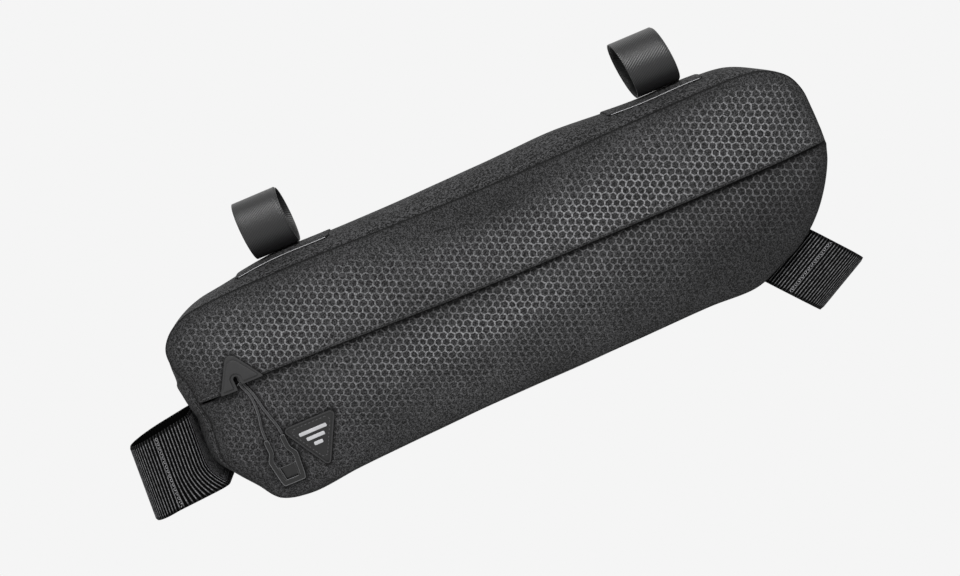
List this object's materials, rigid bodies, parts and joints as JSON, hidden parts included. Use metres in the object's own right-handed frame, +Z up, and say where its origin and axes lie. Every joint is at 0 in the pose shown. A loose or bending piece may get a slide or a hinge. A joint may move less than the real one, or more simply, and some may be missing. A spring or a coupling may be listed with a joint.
{
  "type": "bicycle frame bag",
  "caption": "Slim hollow cloth frame bag with a flap-covered zip, pull cord and grip, hung by hook-and-loop straps and steadied by webbing straps.",
  "frame": {"origin": "on the axis of the round bar that carries the bag, midway between the two top straps", "axes": "+X toward the front of the bag, along its longest extent; -Y is the near side with the zip and badge; +Z up"},
  "size_m": [0.4853, 0.0829, 0.2105],
  "materials": {
    "panel_cloth": "dark grey melange with a printed honeycomb",
    "plain_cloth": "dark grey melange",
    "zip_cloth": "black coated zip tape",
    "zip_metal": "black satin",
    "webbing": "black ribbed webbing",
    "hook_loop": "dark grey fine twill, slightly shiny",
    "rubber": "dark grey matt",
    "cord": "dark grey braid",
    "pale_print": "light grey matt"
  },
  "bodies": {
    "root": {"near_upper_panel": "panel_cloth", "near_lower_panel": "panel_cloth", "far_panel": "panel_cloth", "gusset": "plain_cloth", "zip_tape": "zip_cloth", "zip_slider": "zip_metal", "zip_garage": "rubber", "badge": "rubber", "badge_motif": "pale_print", "pull_cord_rear": "cord", "pull_cord_front": "cord", "pull_grip": "rubber", "top_patch_rear": "plain_cloth", "top_patch_front": "plain_cloth", "top_strap_rear": "hook_loop", "top_strap_front": "hook_loop", "rear_strap": "webbing", "front_strap": "webbing"}
  },
  "joints": []
}
